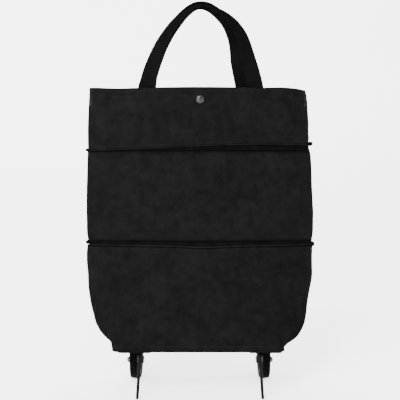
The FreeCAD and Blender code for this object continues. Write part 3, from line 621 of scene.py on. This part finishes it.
def strap(name, node, ends, height, foot_y, side):
    points, twist = strap_path(ends, height, foot_y, side)
    profile = strap_profile()
    along = np.gradient(points, axis=0)
    along[:TAIL_POINTS + 2] = (0, 0, 1)
    along[-TAIL_POINTS - 2:] = (0, 0, -1)
    rows = []
    for point, way, turn in zip(points, along, twist):
        level = np.array([way[0], 0, way[2]])
        level /= np.linalg.norm(level)
        inward = np.array([level[2], 0, -level[0]])
        across = inward * math.cos(turn) + np.array([0, side, 0]) * math.sin(turn)
        facing = np.cross(across, level)
        rows.append(np.array([point + across * (u * STRAP_W / 2) + facing * (w * STRAP_T / 2)
                              for u, w in profile]))
    piece = tube_mesh(name, rows)
    # ends closed, and the strip's own map in metres
    mesh = bmesh.new()
    mesh.from_mesh(piece.data)
    mesh.verts.ensure_lookup_table()
    count = len(profile)
    mesh.faces.new([mesh.verts[i] for i in range(count)][::-1])
    total = len(mesh.verts)
    mesh.faces.new([mesh.verts[total - count + i] for i in range(count)])
    run = np.r_[0, np.cumsum(np.linalg.norm(np.diff(points, axis=0), axis=1))]
    layer = mesh.loops.layers.uv.new("strip")
    for face in mesh.faces:
        face.smooth = True
        for loop in face.loops:
            row, column = divmod(loop.vert.index, count)
            loop[layer].uv = (profile[column][0] * STRAP_W / 2, run[row])
    mesh.to_mesh(piece.data)
    mesh.free()
    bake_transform(piece)
    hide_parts(node, "handle_tails")
    print(name, "strip length %.0f mm" % (1000 * run[-1]))
    return piece


def strap_from(name, node, side):
    """Reads one handle's ends and height from its model."""
    low, high = low_high(node)
    ends = (low[0] + STRAP_W / 2, high[0] - STRAP_W / 2)
    top = high[2] - STRAP_W / 2 * math.sin(ROLL) - STRAP_AIR
    foot_y = (tail_high[1] if side > 0 else -tail_low[1]) - STRAP_AIR
    return strap(name, node, ends, top - RIM_Z, foot_y, side)


front_strap = strap_from("front_strap", "handle_front", -1)
back_strap = strap_from("back_strap", "handle_back", 1)

# %% [markdown]
# Stitches are small, but they tell the eye how big the bag is. Each one is a short
# raised grain of thread. They sit on the finished cloth, so their places are read
# from the cloth's own points.

# %% Stitches
STITCH_LENGTH, STITCH_GAP, STITCH_R = 2.4 * MM, 0.9 * MM, 0.30 * MM


def grain(mesh, start, end, normal, radius=STITCH_R):
    """One stitch: a low six-sided spindle."""
    along = (end - start)
    side = np.cross(normal, along)
    side /= max(np.linalg.norm(side), 1e-9)
    rings = []
    for share, size in ((0.0, 0.35), (0.2, 1.0), (0.8, 1.0), (1.0, 0.35)):
        middle = start + along * share
        rings.append([mesh.verts.new(middle + radius * size * (side * math.cos(a) + normal * math.sin(a)))
                      for a in (0, math.pi / 3, 2 * math.pi / 3, math.pi, 4 * math.pi / 3, 5 * math.pi / 3)])
    for one, two in zip(rings, rings[1:]):
        for k in range(6):
            face = mesh.faces.new((one[k], one[(k + 1) % 6], two[(k + 1) % 6], two[k]))
            face.smooth = True
    mesh.faces.new(rings[0][::-1])
    mesh.faces.new(rings[-1])


def stitch_line(mesh, line, normals):
    """Stitches end to end along a line of points."""
    steps = np.r_[0, np.cumsum(np.linalg.norm(np.diff(line, axis=0), axis=1))]
    place = 0.0
    while place + STITCH_LENGTH < steps[-1]:
        ends = [np.array([np.interp(p, steps, line[:, k]) for k in range(3)])
                for p in (place, place + STITCH_LENGTH)]
        normal = np.array([np.interp(place, steps, normals[:, k]) for k in range(3)])
        normal /= max(np.linalg.norm(normal), 1e-9)
        grain(mesh, ends[0], ends[1], normal)
        place += STITCH_LENGTH + STITCH_GAP


def ring_on(piece, row, lift):
    """One row of a tube's points, lifted off the cloth, with normals."""
    points = row_points(piece, row)
    out = outward(points[:, :2])
    out = np.c_[out, np.zeros(len(out))]
    loop = np.vstack([points + out * lift, (points + out * lift)[:1]])
    return loop, np.vstack([out, out[:1]])


def row_near(piece, rows, z):
    """The row of a tube whose points are nearest a height on average."""
    heights = [row_points(piece, row)[::12, 2].mean() for row in range(rows + 1)]
    return int(np.argmin(abs(np.array(heights) - z)))


def finish_mesh(name, mesh, body):
    data = bpy.data.meshes.new(name)
    mesh.to_mesh(data)
    mesh.free()
    piece = bpy.data.objects.new(name, data)
    bpy.context.scene.collection.objects.link(piece)
    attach(piece, body)
    return piece


hem_mesh = bmesh.new()
for below in STITCH_BELOW_RIM:
    stitch_line(hem_mesh, *ring_on(top_cloth, row_near(top_cloth, TOP_ROWS, RIM_Z - below), 0.10 * MM))
stitch_line(hem_mesh, *ring_on(top_cloth, 2, 0.10 * MM))
hem_stitches = finish_mesh("hem_stitches", hem_mesh, "top")
seam_mesh = bmesh.new()
stitch_line(seam_mesh, *ring_on(lower_bag, LOWER_ROWS - 2, 0.10 * MM))
stitch_line(seam_mesh, *ring_on(lower_bag, row_near(lower_bag, LOWER_ROWS, BASE_Z + 3.5 * MM), 0.10 * MM))
seam_stitches = finish_mesh("seam_stitches", seam_mesh, "base")
print("stitches:", len(hem_stitches.data.vertices) // 24, "and", len(seam_stitches.data.vertices) // 24)

# %% [markdown]
# Where coated cloth is folded or sewn, its edge catches the light. A thin rolled
# bead in a lighter colour draws each such edge as a painted highlight: along both
# zips, with a dark bead beside it as a painted shadow line, round the tray's rim,
# and down the side seams.

# %% Edge beads and side seams
def bead(name, body, path, radius, closed=True):
    """A thin round cord along a path of points."""
    path = np.asarray(path)
    along = np.roll(path, -1, 0) - np.roll(path, 1, 0) if closed else np.gradient(path, axis=0)
    along /= np.maximum(np.linalg.norm(along, axis=1, keepdims=True), 1e-9)
    guide = np.array([0, 0, 1.0]) if closed else np.array([0, 1.0, 0])
    side = np.cross(along, guide)
    side /= np.linalg.norm(side, axis=1, keepdims=True)
    lift = np.cross(side, along)
    angles = 2 * math.pi * np.arange(6) / 6
    rows = [point + radius * (np.cos(angles)[:, None] * one + np.sin(angles)[:, None] * two)
            for point, one, two in zip(path, side, lift)]
    if closed:
        rows.append(rows[0])
    else:
        # both ends draw in, so that no open end shows
        rows = [path[0] + 0 * rows[0]] + rows + [path[-1] + 0 * rows[0]]
    piece = tube_mesh(name, rows)
    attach(piece, body)
    return piece


def column_on(piece, column, rows, lift):
    """One column of a tube's points, lifted off the cloth."""
    return np.array([ring_on(piece, row, lift)[0][column % AROUND] for row in range(rows + 1)])


LEFT_TIP = AROUND // 2
# the fold beads wear a lighter cloth: a painted highlight along each folded edge
upper_fold = bead("upper_fold", "top", ring_on(top_cloth, 0, -0.10 * MM)[0][:-1], 0.55 * MM)
lower_fold = bead("lower_fold", "base", ring_on(lower_bag, LOWER_ROWS, -0.05 * MM)[0][:-1], 0.75 * MM)
# a dark bead just under the lower fold and a finer one above the upper fold: painted shadow lines
under = ring_on(lower_bag, LOWER_ROWS, 0.35 * MM)[0][:-1] - (0, 0, 1.7 * MM)
lower_groove = bead("lower_groove", "base", under, 0.70 * MM)
above = ring_on(top_cloth, 0, -0.15 * MM)[0][:-1] + (0, 0, 1.3 * MM)
upper_groove = bead("upper_groove", "top", above, 0.35 * MM)
# the tray line is a lighter bead: painted highlight along the tray's rim
tray_row = row_near(lower_bag, LOWER_ROWS, BASE_Z + 8.0 * MM)
tray_line = bead("tray_line", "base", ring_on(lower_bag, tray_row, 0.0)[0][:-1], 0.45 * MM)
# the side seams are lighter beads: painted highlight down each seam
side_seams = []
for name, body, piece, rows in (("top", "top", top_cloth, TOP_ROWS),
                                ("lower", "base", lower_bag, LOWER_ROWS)):
    for tag, column in (("left_front", LEFT_TIP + 3), ("left_back", LEFT_TIP - 3),
                        ("right_front", -1), ("right_back", 1)):
        path = column_on(piece, column, rows, 0.0)
        side_seams.append(bead("%s_seam_%s" % (name, tag), body, path[1:-1], 0.50 * MM, closed=False))
print(len(side_seams), "side seams")

# %% [markdown]
# Each zip ends in a small folded tab that stands out past the side seam.

# %% Zip end tabs
def end_tab(name, body, place, size):
    """A small folded lump of tape: a ball squeezed to shape, with a fold round it."""
    mesh = bmesh.new()
    bmesh.ops.create_uvsphere(mesh, u_segments=20, v_segments=14, radius=1.0)
    for vert in mesh.verts:
        fold = 1 - 0.22 * math.exp(-(vert.co.z / 0.18) ** 2)
        vert.co = Vector([vert.co[k] * size[k] * (fold if k < 2 else 1) + place[k] for k in range(3)])
    for face in mesh.faces:
        face.smooth = True
    return finish_mesh(name, mesh, body)


# name, body, place along the width and above the seam, and half sizes in millimetres
END_TABS = (
    ("zip_end_upper_left", "top", -1.000, UPPER_Z - 4.0 * MM, (3.6, 2.4, 2.4)),
    ("zip_end_upper_right", "top", 0.977, UPPER_Z + 5.6 * MM, (5.0, 2.6, 3.6)),
    ("zip_end_lower_left", "base", -1.000, SEAM_Z + 4.2 * MM, (4.2, 2.6, 3.2)),
    ("zip_end_lower_right", "base", 1.001, SEAM_Z + 1.2 * MM, (4.2, 2.6, 4.2)),
)
end_tabs = [end_tab(name, body, (FLAT_W * across, 0, z), [half * MM for half in halves])
            for name, body, across, z, halves in END_TABS]
print(len(end_tabs), "end tabs")

# %% [markdown]
# A corded binding closes the bottom seam all round, and hides the raw edge where
# wall and bottom panel meet.

# %% Binding round the foot
BINDING_R = 1.5 * MM
binding_path = uneven(SWELL[0][1], SWELL[0][2], BASE_D + 0.3 * MM, 0.0)
binding_path = np.c_[binding_path, np.full(len(binding_path), BASE_Z + 1.4 * MM)]
binding_out = outward(binding_path[:, :2])
binding_rows = []
for angle in np.linspace(0, 2 * math.pi, 11):
    ring = binding_path.copy()
    ring[:, :2] += binding_out * (BINDING_R * math.cos(angle))
    ring[:, 2] += BINDING_R * math.sin(angle)
    binding_rows.append(ring)
foot_binding = tube_mesh("foot_binding", binding_rows)
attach(foot_binding, "base")

# %% [markdown]
# Shader maths reads best as plain expressions. This class wraps one output socket,
# so that weave * 0.3 + grain adds the Math nodes by itself. Colours and
# vectors go through their own nodes, because a Math node would turn a colour grey.

# %% A small language for materials
class Value:
    """One number that varies over a surface: an output socket with arithmetic."""

    def __init__(self, finish, socket):
        self.finish, self.socket = finish, socket

    def _maths(self, operation, *others):
        return self.finish.node("ShaderNodeMath", {"operation": operation}, *others)

    def __add__(self, other):
        return self._maths("ADD", self, other)

    def __mul__(self, other):
        return self._maths("MULTIPLY", self, other)

    __radd__ = __add__
    __rmul__ = __mul__

    def sine(self):
        return self._maths("SINE", self)

    def between(self, low, high):
        """0 below low and 1 above high."""
        return self.finish.node("ShaderNodeMapRange", {"clamp": True}, self, low, high)


class Finish:
    """A material being written: one method adds any node, and set() ends in the shader."""

    def __init__(self, name):
        self.material = bpy.data.materials.new(name)
        self.material.use_nodes = True
        self.nodes = self.material.node_tree.nodes
        self.links = self.material.node_tree.links
        self.shader = self.nodes["Principled BSDF"]

    def node(self, kind, settings, *inputs, output=0):
        made = self.nodes.new(kind)
        for key, setting in settings.items():
            setattr(made, key, setting)
        for socket, given in zip(made.inputs, inputs):
            self.join(given, socket)
        return Value(self, made.outputs[output])

    def join(self, given, socket):
        if isinstance(given, Value):
            self.links.new(given.socket, socket)
        elif given is not None:
            socket.default_value = given

    def place(self):
        """Where a point is in the object's own space, in metres."""
        return self.node("ShaderNodeTexCoord", {}, output=3)

    def part(self, vector, axis):
        return self.node("ShaderNodeSeparateXYZ", {}, vector, output=axis)

    def noise(self, vector, scale, detail=3.0, rough=0.55):
        made = self.nodes.new("ShaderNodeTexNoise")
        self.links.new(vector.socket, made.inputs["Vector"])
        made.inputs["Scale"].default_value = scale
        made.inputs["Detail"].default_value = detail
        made.inputs["Roughness"].default_value = rough
        return Value(self, made.outputs[0])

    def blend(self, share, one, two):
        """A colour between two colours."""
        made = self.nodes.new("ShaderNodeMix")
        made.data_type = "RGBA"
        self.join(share, made.inputs[0])
        made.inputs[6].default_value = (*one, 1)
        made.inputs[7].default_value = (*two, 1)
        return Value(self, made.outputs[2])

    def bumped(self, height, distance, strength=1.0):
        made = self.nodes.new("ShaderNodeBump")
        made.inputs["Strength"].default_value = strength
        made.inputs["Distance"].default_value = distance
        self.links.new(height.socket, made.inputs["Height"])
        return Value(self, made.outputs[0])

    def set(self, **sockets):
        for name, given in sockets.items():
            self.join(given, self.shader.inputs[name.replace("_", " ")])
        return self.material


# %% [markdown]
# The cloth is a close plain weave with a coating on the back. It is dull and near
# black, with no shine. Its colour is lighter on the swells of its bump and darker
# in the dents, in small uneven patches: random tone together with painted crease
# shade. Threads run across and up, over one and under one.

# %% Cloth
THREAD = 0.55 * MM
TURN = 2 * math.pi


def weave(finish, across, along, pitch):
    """Plain weave height: two waves that trade places from thread to thread."""
    one = (across * (TURN / pitch / 2)).sine()
    two = (along * (TURN / pitch / 2)).sine()
    return (one * two + 1.0) * 0.5


def cloth_finish(name, dark, light, pitch, rough):
    finish = Finish(name)
    place = finish.place()
    threads = weave(finish, finish.part(place, 0), finish.part(place, 2), pitch)
    patches = finish.noise(place, 24.0, 5.0, 0.6)
    flecks = finish.noise(place, 900.0, 2.0, 0.6)
    crumple_and_shade = finish.noise(place, 85.0, 4.0, 0.62)
    # tone follows the patch and crumple noise that also makes the bump, lighter on swells and darker in dents:
    # random tone plus painted crease shade
    tone = patches.between(0.35, 0.66) * 0.36 + crumple_and_shade.between(0.36, 0.66) * 0.50
    tone += flecks * 0.12 + threads * 0.08
    height = threads * 0.30 + flecks * 0.15 + crumple_and_shade * 7.5 + patches * 4.0
    return finish.set(
        Base_Color=finish.blend(tone, dark, light),
        Roughness=patches * 0.16 + rough,
        Normal=finish.bumped(height, 0.25 * MM, 0.75),
        Specular_IOR_Level=0.0)


cloth = cloth_finish("oxford_cloth", (0.0022, 0.0022, 0.0022), (0.0050, 0.0050, 0.0051), THREAD, 0.44)
# a lighter cloth for the fold beads: painted highlight on the folded edges
edge_highlight_cloth = cloth_finish("worn_edge", (0.004, 0.004, 0.004), (0.009, 0.009, 0.009), THREAD, 0.42)
# a lighter cloth for the side seams and the tray line: painted highlight
seam_cloth = cloth_finish("seam_cloth", (0.004, 0.004, 0.004), (0.009, 0.009, 0.009), THREAD, 0.45)
# near-black cloth for the painted shadow lines beside the folds
shade_cloth = cloth_finish("seam_shade", (0.0006, 0.0006, 0.0007), (0.0016, 0.0016, 0.0018), THREAD, 0.75)
lining = cloth_finish("lining_cloth", (0.005, 0.005, 0.0055), (0.012, 0.012, 0.013), 0.4 * MM, 0.60)
thread = cloth_finish("sewing_thread", (0.005, 0.005, 0.0055), (0.011, 0.011, 0.012), 0.3 * MM, 0.45)
tape_cloth = cloth_finish("zip_tape_cloth", (0.0010, 0.0010, 0.0010),
                          (0.0028, 0.0028, 0.0029), 0.7 * MM, 0.70)
binding_cloth = cloth_finish("binding_cloth", (0.0022, 0.0022, 0.0023),
                             (0.0046, 0.0046, 0.0047), 0.5 * MM, 0.55)

# %% [markdown]
# Webbing is woven so tightly that it looks like rows of small chevrons. The strip's
# own map gives the rows, so they turn with the strap.

# %% Webbing
def webbing_finish():
    finish = Finish("ribbed_webbing")
    strip = finish.node("ShaderNodeUVMap", {"uv_map": "strip"})
    across, along = finish.part(strip, 0), finish.part(strip, 1)
    zigzag = (across * (TURN / (3.2 * MM))).sine() * (0.45 * MM)
    ribs = ((along + zigzag) * (TURN / (1.25 * MM))).sine()
    columns = (across * (TURN / (1.6 * MM))).sine()
    fuzz = finish.noise(finish.place(), 700.0, 3.0, 0.6)
    patches = finish.noise(finish.place(), 40.0, 4.0, 0.55)
    height = ribs * 0.5 + columns * 0.25 + fuzz * 0.7
    tone = patches * 0.5 + ribs * 0.13 + fuzz * 0.3
    return finish.set(
        Base_Color=finish.blend(tone, (0.0014, 0.0014, 0.0014), (0.0042, 0.0042, 0.0043)),
        Roughness=fuzz * 0.2 + 0.62,
        Normal=finish.bumped(height, 0.16 * MM, 0.8),
        Specular_IOR_Level=0.0)


webbing = webbing_finish()

# %% [markdown]
# The hard parts share three recipes. Metal has fine streaks from the rolling mill,
# plastic has the grain of its mould, and rubber is dull with dust in its texture.

# %% Metal, plastic and rubber
def metal_finish(name, dark, light, rough, streak_axis=1):
    finish = Finish(name)
    place = finish.place()
    stretched = finish.node("ShaderNodeMapping", {"vector_type": "POINT"}, place)
    scale = [420.0, 420.0, 420.0]
    scale[streak_axis] = 18.0
    stretched.socket.node.inputs["Scale"].default_value = scale
    streaks = finish.noise(stretched, 1.0, 3.0, 0.6)
    patches = finish.noise(place, 110.0, 3.0, 0.5)
    return finish.set(
        Base_Color=finish.blend(streaks * 0.5 + patches * 0.5, dark, light),
        Metallic=1.0,
        Roughness=streaks * 0.18 + patches * 0.10 + rough,
        Normal=finish.bumped(streaks, 0.03 * MM, 0.35))


def plastic_finish(name, dark, light, rough, grain_scale=1400.0, metallic=0.0, coat=0.0, gloss=0.5):
    finish = Finish(name)
    place = finish.place()
    fine = finish.noise(place, grain_scale, 2.0, 0.5)
    patches = finish.noise(place, 90.0, 3.0, 0.5)
    return finish.set(
        Base_Color=finish.blend(patches * 0.7 + fine * 0.3, dark, light),
        Metallic=metallic,
        Roughness=patches * 0.12 + rough,
        Coat_Weight=coat,
        Specular_IOR_Level=gloss,
        Normal=finish.bumped(fine, 0.04 * MM, 0.5))


steel = plastic_finish("dark_zinc_steel", (0.0012, 0.0012, 0.0014),
                       (0.0035, 0.0035, 0.0038), 0.45, 900.0, gloss=0.03)
wire = plastic_finish("dark_plated_wire", (0.0008, 0.0008, 0.0009),
                      (0.0024, 0.0024, 0.0026), 0.45, 900.0, gloss=0.04)
dark_nickel = metal_finish("dark_nickel", (0.03, 0.03, 0.032), (0.075, 0.075, 0.08), 0.18, 0)
plated = metal_finish("bright_plating", (0.36, 0.36, 0.37), (0.62, 0.62, 0.63), 0.14, 0)
gunmetal = plastic_finish("gunmetal_lacquer", (0.012, 0.012, 0.013),
                          (0.024, 0.024, 0.026), 0.22, 600.0, 0.6, 0.0, 0.3)
zip_lacquer = plastic_finish("black_lacquer", (0.004, 0.004, 0.0045),
                             (0.008, 0.008, 0.009), 0.36, 500.0, gloss=0.08)
coil_nylon = plastic_finish("coil_nylon", (0.0008, 0.0008, 0.0009),
                            (0.0022, 0.0022, 0.0024), 0.45, gloss=0.03)
board = plastic_finish("board_plastic", (0.004, 0.004, 0.0044), (0.009, 0.009, 0.010), 0.55)
hub_plastic = plastic_finish("hub_plastic", (0.002, 0.002, 0.002), (0.006, 0.006, 0.006), 0.42, gloss=0.10)
nylon = plastic_finish("natural_nylon", (0.60, 0.58, 0.53), (0.72, 0.70, 0.65), 0.40)


def rubber_finish():
    finish = Finish("tyre_rubber")
    place = finish.place()
    dust = finish.noise(place, 160.0, 5.0, 0.65)
    pores = finish.noise(place, 1800.0, 2.0, 0.5)
    return finish.set(
        Base_Color=finish.blend(dust.between(0.35, 0.75),
                                (0.0004, 0.0004, 0.0004), (0.0020, 0.0020, 0.0020)),
        Roughness=dust * 0.2 + 0.58, Specular_IOR_Level=0.02,
        Normal=finish.bumped(pores + dust, 0.06 * MM, 0.6))


rubber = rubber_finish()
print(len(bpy.data.materials), "materials")

# %% [markdown]
# Each piece now takes its finish. The model's own nodes keep their shape, and the
# pressed and moulded ones listed in BEVELLED get a small bevel, because no pressed
# or moulded edge is truly sharp.

# %% Dress every piece
def dress(piece, *finishes, slot=None):
    piece.data.materials.clear()
    for material in finishes:
        piece.data.materials.append(material)


for piece in (lower_bag, middle_cloth, top_cloth, bottom_cloth):
    dress(piece, cloth, lining, slot="cloth")
dress(facing_cloth, lining, lining, slot="lining")
dress(hem_stitches, thread, slot="cloth")
dress(seam_stitches, thread, slot="cloth")
dress(foot_binding, binding_cloth, slot="cloth")
for piece in tapes + end_tabs:
    dress(piece, tape_cloth, slot="zip_tape")
for piece in (upper_fold, lower_fold):
    dress(piece, edge_highlight_cloth, slot="cloth")
for piece in (upper_groove, lower_groove):
    dress(piece, shade_cloth, slot="cloth")
for piece in side_seams + [tray_line]:
    dress(piece, seam_cloth, slot="cloth")
for piece in (coil_up, coil_down):
    dress(piece, coil_nylon, slot="zip_coil")
for piece in (front_strap, back_strap):
    dress(piece, webbing, slot="webbing")

NODE_FINISH = {
    "base_tray": board, "base_insert": board,
    "stud_cap": gunmetal, "stud_socket": gunmetal, "stud_back_cap": gunmetal, "stud_nipple": gunmetal,
    "zip_slider": zip_lacquer, "zip_pull": zip_lacquer, "hinge_plate": steel, "plate_screws": plated,
    "plate_nuts": plated, "hinge_pin": dark_nickel, "friction_washers": nylon, "wheel_bracket": steel,
    "axle": dark_nickel, "axle_cap_nut": dark_nickel, "tyre": rubber, "wheel_hub": hub_plastic,
    "axle_bush": nylon, "wire_leg": wire,
}
BEVELLED = ("hinge_plate", "wheel_bracket", "axle", "axle_cap_nut", "tyre", "wheel_hub",
            "zip_slider", "zip_pull", "plate_nuts", "base_insert")
for name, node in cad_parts.items():
    stem = name.replace("_right", "").replace("_left", "")
    if stem not in NODE_FINISH:
        continue
    node.data.materials.clear()
    node.data.materials.append(NODE_FINISH[stem])
    if stem in BEVELLED:
        edge = node.modifiers.new("edge", "BEVEL")
        edge.width = 0.25 * MM
        edge.segments = 2
        edge.limit_method = "ANGLE"
        edge.angle_limit = math.radians(40)

# %% [markdown]
# The studio: a pale floor that curves up behind, one wide soft light in front and
# above, two fill lights lower down, and a weak light at each side. The air itself
# is nearly as bright as the floor, so the bag stands in even white light.

# %% Studio
def backdrop():
    rows = []
    bend, reach, back = 0.5, 2.2, 1.1
    profile = [(-reach * 1.6, 0.0), (0.0, 0.0), (back - bend, 0.0)]
    profile += [(back - bend + bend * math.sin(a), bend - bend * math.cos(a))
                for a in np.linspace(0.1, math.pi / 2, 12)]
    profile.append((back, 3.2))
    for y, z in profile:
        rows.append(np.array([(x, y, z) for x in np.linspace(-3.5, 3.5, 5)]))
    piece = tube_mesh("studio_floor", rows, closed=False)
    finish = Finish("studio_paper")
    tone = finish.noise(finish.place(), 3.0, 2.0, 0.5)
    dress(piece, finish.set(Base_Color=finish.blend(tone, (0.85, 0.85, 0.85), (0.88, 0.88, 0.88)),
                            Roughness=0.9, Emission_Color=(1, 1, 1, 1), Emission_Strength=1.7))
    return piece


def soft_light(name, place, aim, width, height, power):
    data = bpy.data.lights.new(name, "AREA")
    data.shape = "RECTANGLE"
    data.size, data.size_y = width, height
    data.energy = power
    light = bpy.data.objects.new(name, data)
    light.location = place
    light.rotation_euler = (Vector(aim) - Vector(place)).to_track_quat("-Z", "Y").to_euler()
    bpy.context.scene.collection.objects.link(light)
    return light


backdrop()
middle = (0, 0, 0.30)
soft_light("key", (-0.9, -1.7, 2.0), middle, 1.1, 0.9, 138)
soft_light("fill", (1.5, -1.6, 0.6), middle, 1.0, 1.2, 15)
soft_light("low_fill", (-1.2, -1.8, 0.35), (0, 0, 0.15), 1.0, 0.5, 45)
soft_light("left_edge", (-1.6, 0.2, 0.8), middle, 0.6, 1.6, 1.5)
soft_light("right_edge", (1.6, 0.3, 0.8), middle, 0.6, 1.6, 1.5)
world = bpy.data.worlds.new("studio_air")
world.use_nodes = True
world.node_tree.nodes["Background"].inputs["Color"].default_value = (1, 1, 1, 1)
world.node_tree.nodes["Background"].inputs["Strength"].default_value = 1.7
bpy.context.scene.world = world
